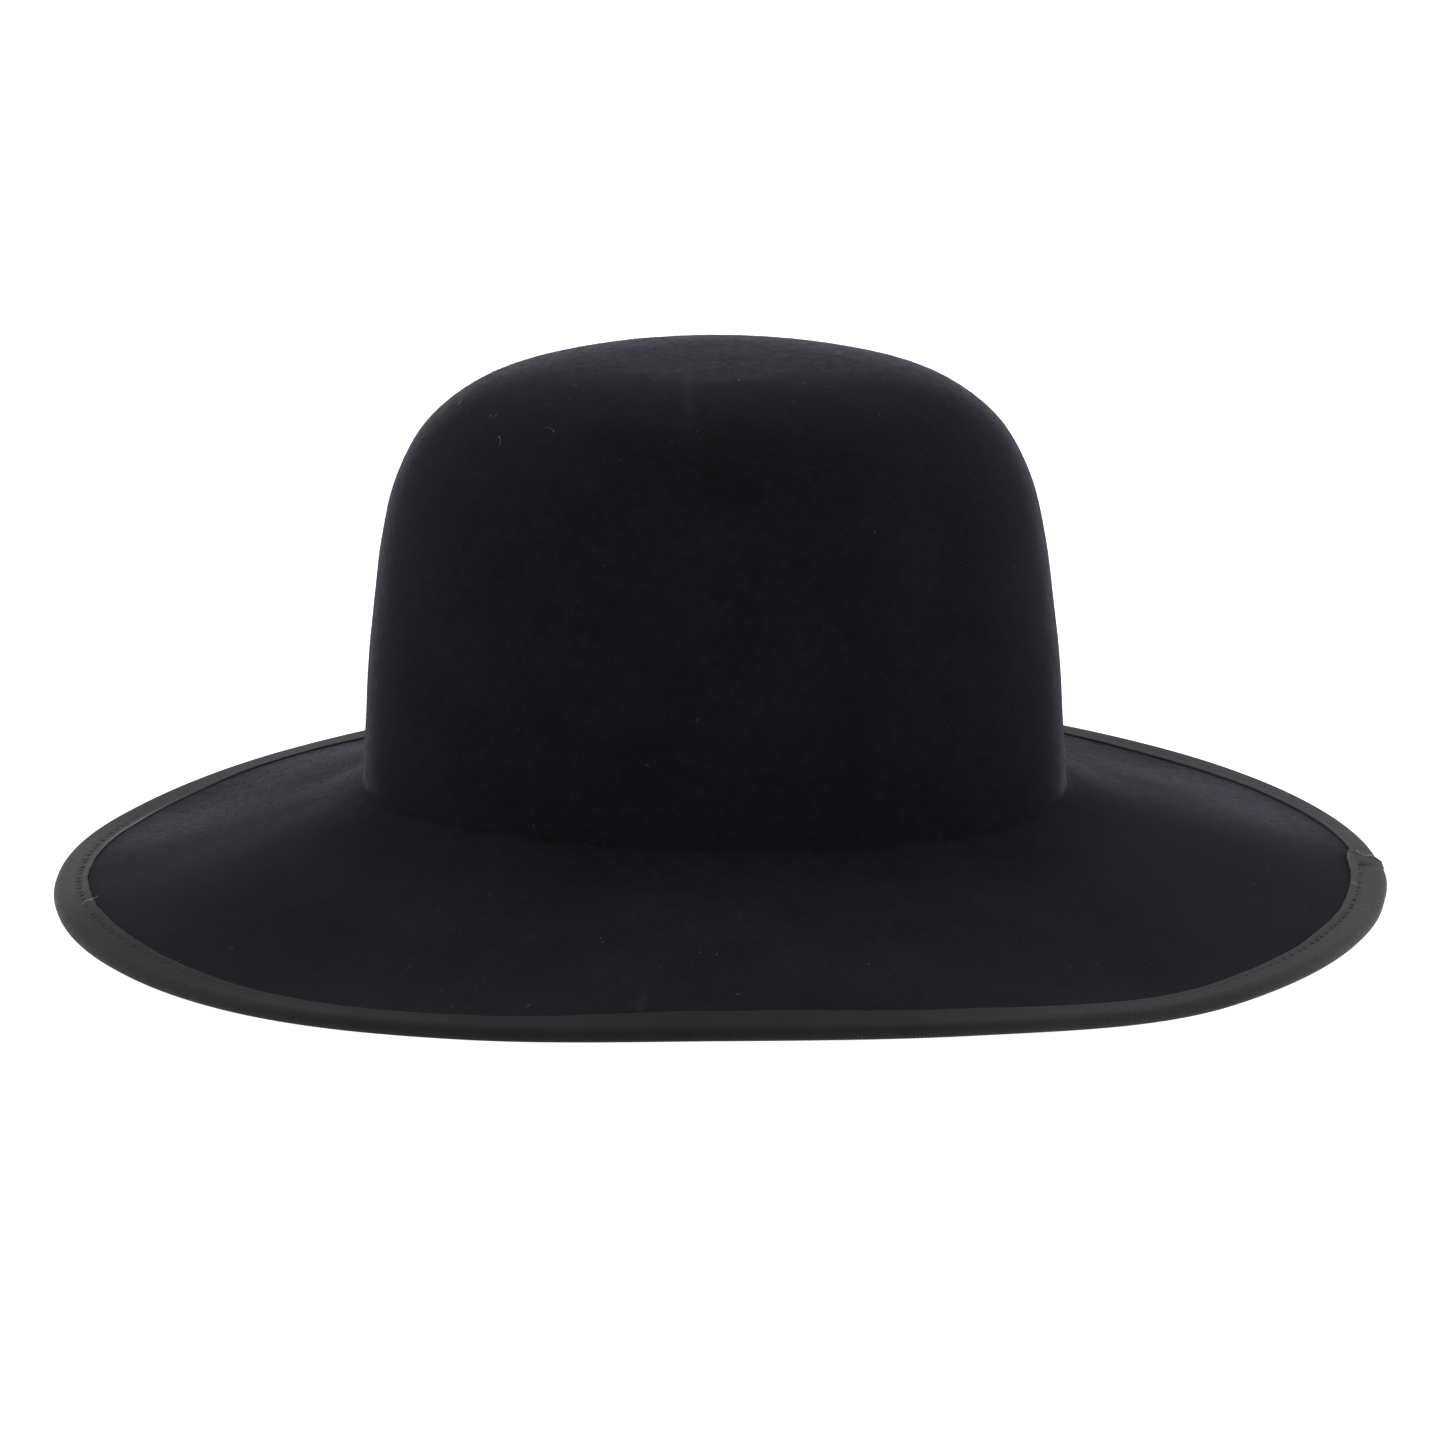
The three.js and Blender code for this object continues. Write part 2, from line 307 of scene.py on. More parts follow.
def felt_marks_and_painted_light(station, bearing, point):
    """Lighter and darker tone on the felt, most of it painted light: painted shade along the pressed
    line, a painted highlight on the pucker's ridge with painted shade in the hollow at its foot, painted
    light on the inner brim at the front left, a painted sheen over the brim that is strongest at its two
    ends, painted shade high on the left side, and a lighter streak across the top."""
    # Painted shade along the pressed line
    line = hump(station, PRESSED_LINE_STATION, 0.3) * (0.6 + 0.45 * noise_of(point, 8))
    streak = hump(point[..., 0], -7, 1.7) * hump(station, 0.17, 0.13) * (point[..., 1] < 5)
    # Painted light on the inner brim at the front left
    painted_brim_light = hump(station, 2.32, 0.1) * hump(np.degrees(bearing), 221, 14)
    foot = 2 + PUCKER_FOOT
    # Painted highlight on the pucker's ridge, painted shade in the hollow at its foot
    painted_ridge_highlight = hump(bearing, PUCKER_BEARING, PUCKER_WIDTH * 0.8) * hump(station, foot - 0.05, 0.07)
    painted_hollow_shade = hump(bearing, PUCKER_BEARING, PUCKER_WIDTH * 2.6) * hump(station, foot - 0.01, 0.025)
    # Painted sheen over the brim, strongest at its two ends
    painted_brim_sheen = (0.1 + (0.42 + 0.08 * np.cos(bearing)) * np.cos(bearing) ** 4) * eased(station, 2, 2.3)
    # Painted shade high on the crown's left side
    painted_crown_shade = 0.25 * hump(station, 0.38, 0.12) * hump(np.degrees(bearing), 270, 40)
    pressed = 0.35 * np.clip(line, 0, 1.2)
    marks_and_painted_light = 0.5 * streak + 0.16 * painted_brim_light + 1.4 * painted_ridge_highlight - 0.6 * painted_hollow_shade
    return marks_and_painted_light + painted_brim_sheen - painted_crown_shade - pressed


def painted_fur_sheen_share(station, point):
    """How much sheen is painted on the fur: most on the far side of the crown's top and along the far
    edge of the brim, where more light fell, and least where the brim begins."""
    far_top = eased(point[..., 1], -45, -5) * (1 - eased(station, 0.3, 0.6))
    far = eased(point[..., 1], 0, 40)
    far_back = far * eased(point[..., 0], 90, 150)
    fur = 1.05 + 0.3 * far_top + 0.08 * eased(station, 0.5, 0.7)
    fur = fur - (0.66 + 0.16 * far_back) * eased(station, 2, 2.3)
    return fur + (0.75 * far + 0.16 * far_back) * eased(station, 2.35, 2.8)


def felt_hood():
    bearing = felt_bearings()
    count = len(bearing)
    crown = np.linspace(0, 1, 57)[1:]
    crease = np.linspace(1, 2, 13)[1:]
    brim = np.linspace(2, 3, 49)[1:]
    outside = np.concatenate([crown, crease, brim])
    inside = np.concatenate([crown[1::2], crease[3::4], brim[1::2]])[::-1]
    upper, normal, downhill = felt_upper(outside[:, None], bearing[None, :])
    base, base_normal, _ = felt_upper(inside[:, None], bearing[None, :])
    edge, edge_normal, edge_out = upper[-1], normal[-1], downhill[-1]
    top = np.array([[0, 0, CROWN_HEIGHT]])
    rings = [top] + list(upper)
    edge_turns = np.radians([30, 60, 90, 120, 150])
    for turn in edge_turns:
        round_edge = edge_normal * (math.cos(turn) - 1) + edge_out * math.sin(turn)
        rings.append(edge + round_edge * HALF_FELT)
    rings += list(base - base_normal * FELT_THICKNESS)
    rings.append(top - [0, 0, FELT_THICKNESS])
    hood = closed_rings("felt_body", [in_place(ring) for ring in rings])

    rest = (len(edge_turns) + len(inside)) * count + 1
    station = np.broadcast_to(outside[:, None], (len(outside), count))
    marks_and_painted_light = felt_marks_and_painted_light(station, np.broadcast_to(bearing, station.shape), upper)
    fur = painted_fur_sheen_share(station, upper)
    values_from_top_to_rest = {
        "marks_and_painted_light": (0, marks_and_painted_light, 0),
        "painted_fur_sheen": (1.35, fur, 1),
        "napped": (1, station < NAP_END_STATION, 0),
    }
    for name, (at_top, outer, inner) in values_from_top_to_rest.items():
        add_attribute(hood, name, np.concatenate([[at_top], outer.ravel(), np.full(rest, inner)]))
    brushed = np.cross(normal, downhill) * BRUSHED_ROUND + downhill * BRUSHED_DOWN
    brushed = np.concatenate([[[0, 1, 0]], brushed.reshape(-1, 3), np.zeros((rest, 3))])
    add_attribute(hood, "brushed", brushed, "FLOAT_VECTOR")
    return hood


def give(tree, node, **inputs):
    """Set inputs of a node to numbers, or link them to other sockets. An input goes by its name,
    with _ for a space, or by its number after "at"."""
    for key, value in inputs.items():
        socket = node.inputs[int(key[2:]) if key.startswith("at") else key.replace("_", " ")]
        if isinstance(value, bpy.types.NodeSocket):
            tree.links.new(value, socket)
        else:
            socket.default_value = value


def node_in(tree, kind, settings=None, **inputs):
    made = tree.nodes.new(kind)
    for key, value in (settings or {}).items():
        setattr(made, key, value)
    give(tree, made, **inputs)
    return made


def maths(tree, operation, first, second=0.0):
    made = node_in(tree, "ShaderNodeMath", {"operation": operation}, at0=first, at1=second)
    return made.outputs["Value"]


def new_material(name):
    """Material with one shader, the tree that its other nodes go into, and the shader."""
    material = bpy.data.materials.new(name)
    material.use_nodes = True
    tree = material.node_tree
    tree.nodes.clear()
    shader = tree.nodes.new("ShaderNodeBsdfPrincipled")
    node_in(tree, "ShaderNodeOutputMaterial", Surface=shader.outputs["BSDF"])
    return material, tree, shader


def object_place(tree):
    return node_in(tree, "ShaderNodeTexCoord").outputs["Object"]


def noise_at(tree, place, size, detail=2.0, roughness=0.5, distortion=0.0):
    """Noise whose patches are about this size, in metres."""
    patches = node_in(tree, "ShaderNodeTexNoise", Vector=place, Scale=1 / size, Detail=detail,
                      Roughness=roughness, Distortion=distortion)
    return patches.outputs["Fac"]


def scaled(tree, value, from_low, from_high, to_low, to_high):
    span = node_in(tree, "ShaderNodeMapRange", Value=value, From_Min=from_low, From_Max=from_high,
                   To_Min=to_low, To_Max=to_high)
    return span.outputs["Result"]


def attribute_of(tree, name):
    return node_in(tree, "ShaderNodeAttribute", {"attribute_name": name}).outputs["Fac"]


def mixed_colour(tree, share, dark, light, held=True):
    """Colour between two, or past the lighter one where the share isn't held to 1."""
    mix = node_in(tree, "ShaderNodeMix", {"data_type": "RGBA", "clamp_factor": held},
                  Factor=share, A=(*dark, 1), B=(*light, 1))
    return mix.outputs["Result"]


def raised(tree, height, shader, strength, distance):
    """Bump from a height between 0 and 1."""
    bump = node_in(tree, "ShaderNodeBump", Strength=strength, Distance=distance, Height=height)
    give(tree, shader, Normal=bump.outputs["Normal"])


def edge_on(tree, from_low, from_high, to_low, to_high):
    """Value that grows where the surface is seen edge on, as the light caught by short fur does."""
    facing = node_in(tree, "ShaderNodeLayerWeight").outputs["Facing"]
    grown = scaled(tree, facing, from_low, from_high, to_low, to_high)
    grown.node.interpolation_type = "SMOOTHSTEP"
    return grown


def felt_finish():
    felt, tree, shader = new_material("felt")
    place = object_place(tree)
    brushed = node_in(tree, "ShaderNodeMapping", Vector=place, Scale=(1, 1, 2.2),
                      Rotation=(0.3, 0.2, 0.5)).outputs["Vector"]
    nap = noise_at(tree, brushed, 0.0006, detail=4, roughness=0.65, distortion=1.2)
    clumps = noise_at(tree, place, 0.0032, detail=3, roughness=0.6, distortion=0.6)
    patches = noise_at(tree, place, 0.026, detail=3, roughness=0.55)
    tone = scaled(tree, nap, 0.3, 0.7, 0, 0.4)
    tone = maths(tree, "ADD", tone, scaled(tree, clumps, 0.32, 0.68, 0, 0.34))
    tone = maths(tree, "ADD", tone, scaled(tree, patches, 0.3, 0.7, 0, 0.26))
    # The marks bring painted shade and painted light into the felt's tone
    tone = maths(tree, "ADD", tone, attribute_of(tree, "marks_and_painted_light"))
    height = maths(tree, "ADD", maths(tree, "MULTIPLY", clumps, 0.8), nap)
    raised(tree, height, shader, strength=0.3, distance=0.00022)
    lit_fur = edge_on(tree, 0.63, 0.88, 0.034, 0.115)
    lit_fur = maths(tree, "MULTIPLY", lit_fur, scaled(tree, clumps, 0.32, 0.68, 0.65, 1.35))
    # Painted sheen, stronger on the far side of the crown's top and at the far edge of the brim
    lit_fur = maths(tree, "MULTIPLY", lit_fur, attribute_of(tree, "painted_fur_sheen"))
    give(
        tree, shader,
        Base_Color=mixed_colour(tree, tone, FELT_DARK, FELT_LIGHT),
        Roughness=scaled(tree, clumps, 0.3, 0.7, 0.88, 1.0),
        Specular_IOR_Level=FELT_SPECULAR,
        Sheen_Weight=lit_fur,
        Sheen_Roughness=SHEEN_ROUGHNESS,
        Sheen_Tint=FUR_TINT,
    )
    return felt


felt_body = felt_hood()
felt_body.data.materials.append(felt_finish())
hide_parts("felt_body")
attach(felt_body, "root")


# Brushed nap. Short ends of the fur stand up out of the felt's outside, all over the crown and the
# top of the brim. A soft brush has laid them one way round the hat and down towards the edge.

NAP_DARK = (0.0060, 0.0059, 0.0070)
NAP_LIGHT = (0.0420, 0.0412, 0.0480)


def new_tree(name, numbers, whole_numbers=()):
    """Empty Geometry Nodes tree with one geometry input and named numbers after it."""
    tree = bpy.data.node_groups.new(name, "GeometryNodeTree")
    tree.interface.new_socket("Geometry", in_out="INPUT", socket_type="NodeSocketGeometry")
    for label in numbers:
        tree.interface.new_socket(label, in_out="INPUT", socket_type="NodeSocketFloat")
    for label in whole_numbers:
        tree.interface.new_socket(label, in_out="INPUT", socket_type="NodeSocketInt")
    tree.interface.new_socket("Geometry", in_out="OUTPUT", socket_type="NodeSocketGeometry")
    return tree


def vectors(tree, operation, first, second):
    second_input = "Scale" if operation == "SCALE" else "at1"
    inputs = {"at0": first, second_input: second}
    return node_in(tree, "ShaderNodeVectorMath", {"operation": operation}, **inputs).outputs["Vector"]


def named(tree, name, kind="FLOAT"):
    made = node_in(tree, "GeometryNodeInputNamedAttribute", {"data_type": kind}, Name=name)
    return made.outputs["Attribute"]


def finish_tree(tree, geometry, material):
    """Realize Instances, then Set Material, then the tree's output."""
    real = node_in(tree, "GeometryNodeRealizeInstances", Geometry=geometry).outputs["Geometry"]
    done = node_in(tree, "GeometryNodeSetMaterial", Geometry=real, Material=material)
    output = tree.nodes.new("NodeGroupOutput")
    tree.links.new(done.outputs["Geometry"], output.inputs[0])


def made_by(tree, source, name, sizes):
    """Plain mesh piece that a tree makes from a source object, which it uses up."""
    modifier = source.modifiers.new(tree.name, "NODES")
    modifier.node_group = tree
    for item in tree.interface.items_tree:
        if item.in_out == "INPUT" and item.name in sizes:
            modifier[item.identifier] = sizes[item.name]
    bpy.context.view_layer.update()
    graph = bpy.context.evaluated_depsgraph_get()
    mesh = bpy.data.meshes.new_from_object(
        source.evaluated_get(graph), preserve_all_data_layers=True, depsgraph=graph
    )
    source.modifiers.remove(modifier)
    bpy.data.objects.remove(source)
    mesh.name = name
    return in_the_scene(name, mesh)


def nap_tree(material):
    """Fine pointed fibres spread over the outside, leaning the way that the felt is brushed."""
    numbers = ["Fibres per Square Metre", "Fibre Length", "Fibre Radius", "Lean Out", "Disorder"]
    tree = new_tree("brushed_nap", numbers, ["Seed"])
    given = tree.nodes.new("NodeGroupInput").outputs
    spread = node_in(tree, "GeometryNodeDistributePointsOnFaces", {"distribute_method": "RANDOM"},
                     Mesh=given["Geometry"], Selection=named(tree, "napped"),
                     Density=given["Fibres per Square Metre"], Seed=given["Seed"])
    fibre = node_in(tree, "GeometryNodeMeshCone", {"fill_type": "NGON"}, Vertices=3, Radius_Top=0.0,
                    Radius_Bottom=given["Fibre Radius"], Depth=given["Fibre Length"])
    stray = node_in(tree, "FunctionNodeRandomValue", {"data_type": "FLOAT_VECTOR"},
                    at0=(-1.0, -1.0, -1.0), at1=(1.0, 1.0, 1.0), Seed=given["Seed"])
    lean = vectors(tree, "SCALE", spread.outputs["Normal"], given["Lean Out"])
    lean = vectors(tree, "ADD", lean, named(tree, "brushed", "FLOAT_VECTOR"))
    lean = vectors(tree, "ADD", lean, vectors(tree, "SCALE", stray.outputs[0], given["Disorder"]))
    turned = node_in(tree, "FunctionNodeAlignRotationToVector", {"axis": "Z"}, Vector=lean)
    growth = node_in(tree, "FunctionNodeRandomValue", {"data_type": "FLOAT"}, at2=0.55, at3=1.3)
    placed = node_in(tree, "GeometryNodeInstanceOnPoints", Points=spread.outputs["Points"],
                     Instance=fibre.outputs["Mesh"], Rotation=turned.outputs[0], Scale=growth.outputs[1])
    finish_tree(tree, placed.outputs["Instances"], material)
    return tree


def nap_finish():
    nap, tree, shader = new_material("felt_nap")
    patches = noise_at(tree, object_place(tree), 0.0012, detail=3, roughness=0.7)
    tone = scaled(tree, patches, 0.35, 0.7, 0, 1)
    give(
        tree, shader,
        Base_Color=mixed_colour(tree, tone, NAP_DARK, NAP_LIGHT),
        Roughness=0.85,
        Specular_IOR_Level=FELT_SPECULAR,
        Sheen_Weight=0.12,
        Sheen_Roughness=SHEEN_ROUGHNESS,
        Sheen_Tint=FUR_TINT,
    )
    return nap


felt_nap = made_by(
    nap_tree(nap_finish()),
    in_the_scene("felt_copy", felt_body.data.copy()),
    "felt_nap",
    {
        "Fibres per Square Metre": 330000.0,
        "Fibre Length": 0.0009,
        "Fibre Radius": 0.000035,
        "Lean Out": 0.28,
        "Disorder": 0.55,
        "Seed": 8,
    },
)
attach(felt_nap, "root")


# Brim binding. A black grosgrain ribbon, 24 mm wide, is folded over the brim's edge and drawn down
# to the felt by its stitches. Its ribs run across it, one every 1.1 mm. The ends lap at the centre
# back, with the upper end turned under.

RIBBON_CLEARANCE = 0.3
RIBBON_THICKNESS = 0.7
RIBBON_INSIDE = HALF_FELT + RIBBON_CLEARANCE
RIBBON_OUTSIDE = RIBBON_INSIDE + RIBBON_THICKNESS
SELVAGE_INSIDE = 1.42
SELVAGE_ROUND = 0.25
LEAST_RISE = -0.84
RIBBON_REACH = 8.3
FOLD_LENGTH = math.pi * RIBBON_OUTSIDE
RIBBON_WIDTH = 2 * RIBBON_REACH + FOLD_LENGTH
RIB_COUNT = 1080
STEPS_PER_RIB = 4
COARSE_STEP = 12
STITCH_INSET = 2.6
STITCH_COUNT = 276
STITCH_WANDER = 0.9
PLEAT_DEPTH = 0.34
LAP_END_INSIDE = 14.4
LAP_END_OUTSIDE = 11.6
LAP_RAMP_START = 6
LAP_RAMP_END = -26
LAP_ROLL_HEIGHT = 0.34
DENT_BEFORE_END = 12.3
DENT_ACROSS = 3.7
DENT_SLANT = 0.95
DENT_DEPTH = 0.32
PIT_DEPTH = 0.28
# Painted highlight: a pale line on the selvage's lip near the front, and near the turned end
PAINTED_HIGHLIGHT_BEARING = math.radians(163)
PAINTED_HIGHLIGHT_SPREAD = math.radians(12)
PAINTED_HIGHLIGHT_STRENGTH = 16.0
THREAD_PITCH = 0.00034
RIBBON_DARK = (0.0046, 0.0046, 0.0049)
RIBBON_LIGHT = (0.0135, 0.0135, 0.0143)
RIBBON_TINT = (0.94, 0.955, 1.0, 1)

# Height of the ribbon's outer face at each distance from its nearer selvage
RIBBON_RELIEF = np.array([
    (0, -0.74),
    (0.25, -0.45),
    (0.6, -0.36),
    (1.2, -0.32),
    (1.9, -0.29),
    (2.6, -0.27),
    (3.3, -0.23),
    (4.6, -0.16),
    (6.4, -0.06),
    (8.3, 0),
])

# Bearing, how much shine is painted on the ribbon there, strongest at its two ends where it caught more
# light, and how hard its stitches pull
ROUND_THE_EDGE = np.array([
    (0, 0.9, 0.3),
    (8, 1.0, 0.25),
    (20, 0.65, 0.08),
    (60, 0.45, 0.08),
    (140, 0.55, 0.08),
    (156, 0.42, 0.12),
    (166, 0.8, 0.75),
    (176, 1.15, 1.15),
    (186, 0.9, 0.9),
    (193, 0.35, 0.4),
    (204, 0.18, 0.35),
    (214, 0.15, 0.25),
    (222, 0.1, 0.1),
    (248, 0, 0.08),
    (276, 0, 0.08),
    (300, 0.3, 0.08),
    (316, 0.36, 0.14),
    (330, 0.65, 0.6),
    (344, 0.98, 1.4),
    (354, 1.1, 0.6),
])


def bearings_along_edge(count):
    """Bearings that are evenly far apart along the brim's edge, and the length right round it."""
    fine = np.linspace(0, 2 * np.pi, 7201)
    edge = upper_face(np.full(fine.shape, 3.0), fine)[0]
    travelled = np.concatenate([[0], np.cumsum(np.linalg.norm(np.diff(edge, axis=0), axis=1))])
    wanted = np.arange(count) / count * travelled[-1]
    return np.interp(wanted, travelled, fine), wanted, travelled[-1]


def ribbon_point(across, bearing, distance):
    """Point at a place across the ribbon, from its upper selvage to its lower one, at a distance
    from the felt's middle layer. It comes with its own outward normal and its direction across."""
    upper = np.clip(RIBBON_REACH - across, 0, None)
    lower = np.clip(across - RIBBON_REACH - FOLD_LENGTH, 0, None)
    turn = np.clip((across - RIBBON_REACH) / RIBBON_OUTSIDE, 0, np.pi)
    run = upper_face(np.full(bearing.shape, 3.0), bearing)[1]
    station = 3 - (upper + lower) / run
    point, normal, outward, _ = felt_frame(station, bearing)
    turn = turn[..., None]
    facing = normal * np.cos(turn) + outward * np.sin(turn)
    onward = outward * np.cos(turn) - normal * np.sin(turn)
    return point - normal * HALF_FELT + facing * distance[..., None], facing, onward


def wandering(length, spacing, seed):
    """Slow random waver round the edge, between about -1 and 1, that closes on itself."""
    around = length / length.max() * 2 * np.pi
    size = length.max() / spacing / 6
    circle = np.stack([np.cos(around), np.sin(around)], axis=1) * size
    return np.array([noise.noise(Vector((x, y, seed))) for x, y in circle]) * 1.6


def from_seam(along, length):
    """Distance along the edge from the centre back, below zero on the hat's left side."""
    return np.where(along > length / 2, along - length, along)


def lap_end(across):
    """How far along the turned end of the upper ribbon lies: it runs a little askew."""
    return LAP_END_INSIDE + (LAP_END_OUTSIDE - LAP_END_INSIDE) * eased(across, 0, RIBBON_REACH + 3)


def lap_rise(along, across):
    """Extra height where the ribbon's ends lie over each other: a rolled end at the far side
    and a long ramp at the near side, where the under end stops."""
    end = lap_end(across)
    turned_end = 1 - eased(along, end - 0.3, end + 0.35)
    ramp = eased(along, LAP_RAMP_END, LAP_RAMP_START)
    roll = LAP_ROLL_HEIGHT * hump(along, end - 1.3, 1.1)
    return (RIBBON_THICKNESS * ramp + roll) * turned_end


def lap_dent(signed, across):
    """How deep the slanting dent before the turned end is, from 0 to 1, and the pit in its middle."""
    middle = lap_end(across) - DENT_BEFORE_END + DENT_SLANT * (across - DENT_ACROSS)
    dent = hump(signed, middle, 3.4) * eased(across, 1.8, 3.6) * (1 - eased(across, 5.5, 11.5))
    pit = hump(signed, middle, 1.8) * hump(across, DENT_ACROSS, 1.1)
    return dent, pit


def selvage_waver(along, signed):
    """How far the selvages lie off their line. They waver, and are drawn out past the turned end
    and laid in a little before it."""
    waver = 0.26 * wandering(along, 16, 1.7) + 0.13 * wandering(along, 5, 7.9)
    past_end = eased(signed, LAP_END_INSIDE - 0.4, LAP_END_INSIDE + 0.5)
    drawn_out = 2 * past_end * (1 - eased(signed, 26, 105)) + eased(signed, 4, 14) * (1 - past_end)
    laid_in = 0.3 * eased(signed, -22, -6) * (1 - eased(signed, LAP_END_INSIDE - 2, LAP_END_INSIDE))
    return waver + drawn_out - laid_in


def round_the_edge(column, bearing):
    """One column of the table of the ribbon's painted shine and stitches at a bearing in radians."""
    table = ROUND_THE_EDGE
    return np.interp(np.degrees(bearing) % 360, table[:, 0], table[:, column], period=360)


def ribbon_relief(inset, bearing):
    """Height of the outer face at a distance from its nearer selvage: drawn in along the stitches."""
    pull = round_the_edge(2, bearing)
    rise = np.interp(inset, RIBBON_RELIEF[:, 0], RIBBON_RELIEF[:, 1])
    return rise + pull * (0.12 * hump(inset, 0.7, 0.5) - 0.34 * hump(inset, STITCH_INSET, 0.9))


def sewn_stitches():
    """Bearing, distance along the edge and pull of each stitch. They are sewn a little unevenly."""
    pick = np.random.default_rng(7)
    bearing, along, _ = bearings_along_edge(STITCH_COUNT)
    off = pick.uniform(-1, 1, STITCH_COUNT) * STITCH_WANDER
    bearing = bearing + off * np.gradient(bearing) / np.gradient(along)
    pull = round_the_edge(2, bearing) * pick.uniform(0.5, 1.25, STITCH_COUNT)
    return bearing, along + off, pull


def ribbon_skin():
    """Rings of points along the ribbon, outside and inside, and what the outside is painted with."""
    columns = RIB_COUNT * STEPS_PER_RIB
    bearing, along, length = bearings_along_edge(columns)
    signed = from_seam(along, length)
    flat_rings = [0.0, SELVAGE_ROUND, 0.6, 1.2, 1.9, 2.6, 3.3, 4.0, 4.8, 6.0, 7.2, RIBBON_REACH]
    fold_rings = [RIBBON_REACH + FOLD_LENGTH * share for share in (0.2, 0.4, 0.6, 0.8, 1.0)]
    back_rings = [RIBBON_WIDTH - inset for inset in (4.4, 2.6, 1.2, 0.0)]
    _, sewn_at, pulls = sewn_stitches()
    nearest = np.round(along / length * STITCH_COUNT).astype(int) % STITCH_COUNT
    from_stitch = (along - sewn_at[nearest] + length / 2) % length - length / 2
    pull = pulls[nearest]
    # Painted shine, strongest at the ribbon's two ends, where it caught more light
    painted_shine_share = round_the_edge(1, bearing)
    # Painted highlight along the selvage lip, near the front and by the turned end at the centre back
    painted_selvage_highlight = hump(bearing, PAINTED_HIGHLIGHT_BEARING, PAINTED_HIGHLIGHT_SPREAD) + 0.4 * hump(signed, 4, 12)
    pleat_length = 0.65 - 0.2 * np.cos(bearing)
    drawn = round_the_edge(2, bearing)
    selvage_shift = selvage_waver(along, signed)
    rings = []
    painted = {"ribbing": [], "across": [], "shaded": [], "painted_shine": [], "pale": []}
    for across in flat_rings + fold_rings + back_rings:
        inset = min(across, RIBBON_WIDTH - across)
        side = 1 if across < RIBBON_WIDTH / 2 else -1
        shift = selvage_shift * max(0.0, 1 - inset / 5) * side
        place = np.full(columns, across) + shift
        pleat = hump(inset, STITCH_INSET, pleat_length)
        pleat = pleat * hump(from_stitch - 0.3 * (inset - STITCH_INSET), 0, 0.5)
        rise = ribbon_relief(inset, bearing) + lap_rise(signed, across) - PLEAT_DEPTH * pull * pleat
        rise = rise + 0.07 * wandering(along, 11, 3.3) * hump(inset, 0.8, 0.8) * (inset > 0)
        dent, pit = lap_dent(signed, across)
        rise = rise - DENT_DEPTH * dent - PIT_DEPTH * pit
        rise = np.maximum(rise, LEAST_RISE + 0.03 * min(inset, RIBBON_REACH))
        rings.append(ribbon_point(place, bearing, RIBBON_OUTSIDE + rise)[0])
        # Painted shade along the stitch row, in the pleats, and in the dent and pit before the turned
        # end
        painted_valley_shade = 0.2 * drawn * hump(inset, STITCH_INSET, 0.9)
        shade = np.clip(painted_valley_shade + 1.1 * pull * pleat + 0.32 * dent + 0.5 * pit, 0, 1)
        painted["ribbing"].append(eased(np.minimum(place, RIBBON_WIDTH - place), 0.3, 1.4))
        painted["across"].append(place * 0.001)
        painted["shaded"].append(shade)
        # The painted shine is lowered where painted shade lies
        painted["painted_shine"].append(painted_shine_share * (1 - shade))
        painted["pale"].append(painted_selvage_highlight * (1 - eased(inset, 0.1, 0.5)))
    coarse = bearing[::COARSE_STEP]
    fold = [(RIBBON_REACH + FOLD_LENGTH * share, RIBBON_INSIDE) for share in (1, 0.75, 0.5, 0.25, 0)]
    selvages = [(across, SELVAGE_INSIDE) for across in (RIBBON_WIDTH - SELVAGE_ROUND, SELVAGE_ROUND)]
    inner = []
    for across, distance in selvages[:1] + fold + selvages[1:]:
        side = 1 if across < RIBBON_WIDTH / 2 else -1
        at_selvage = min(across, RIBBON_WIDTH - across) < 1
        place = across + selvage_shift[::COARSE_STEP] * side * at_selvage
        inner.append(ribbon_point(place, coarse, np.full(coarse.shape, distance))[0])
    return rings, inner, painted, along


def rib_strength(along, length):
    """How plainly each rib shows: some are worn flat, and they come in groups."""
    chance = np.random.default_rng(31).uniform(0.6, 1.2, RIB_COUNT)
    rib = np.floor(along / length * RIB_COUNT).astype(int) % RIB_COUNT
    groups = np.clip(0.75 + 0.5 * wandering(along, 22, 5.5), 0.3, 1.2)
    return chance[rib] * groups


def fan_faces(dense_start, coarse_start, dense_count, coarse_count, dense_first):
    """Faces between a dense ring and a coarse one."""
    step = np.arange(dense_count)
    after = (step + 1) % dense_count
    near = ((step + COARSE_STEP // 2) // COARSE_STEP) % coarse_count
    coarse = np.arange(coarse_count)
    coarse_after = (coarse + 1) % coarse_count
    middle = coarse * COARSE_STEP + COARSE_STEP // 2
    fans = np.stack([dense_start + step, coarse_start + near, dense_start + after], axis=1)
    gaps = [dense_start + middle, coarse_start + coarse, coarse_start + coarse_after]
    order = [0, 1, 2] if dense_first else [1, 0, 2]
    return np.concatenate([fans, np.stack(gaps, axis=1)])[:, order].tolist()


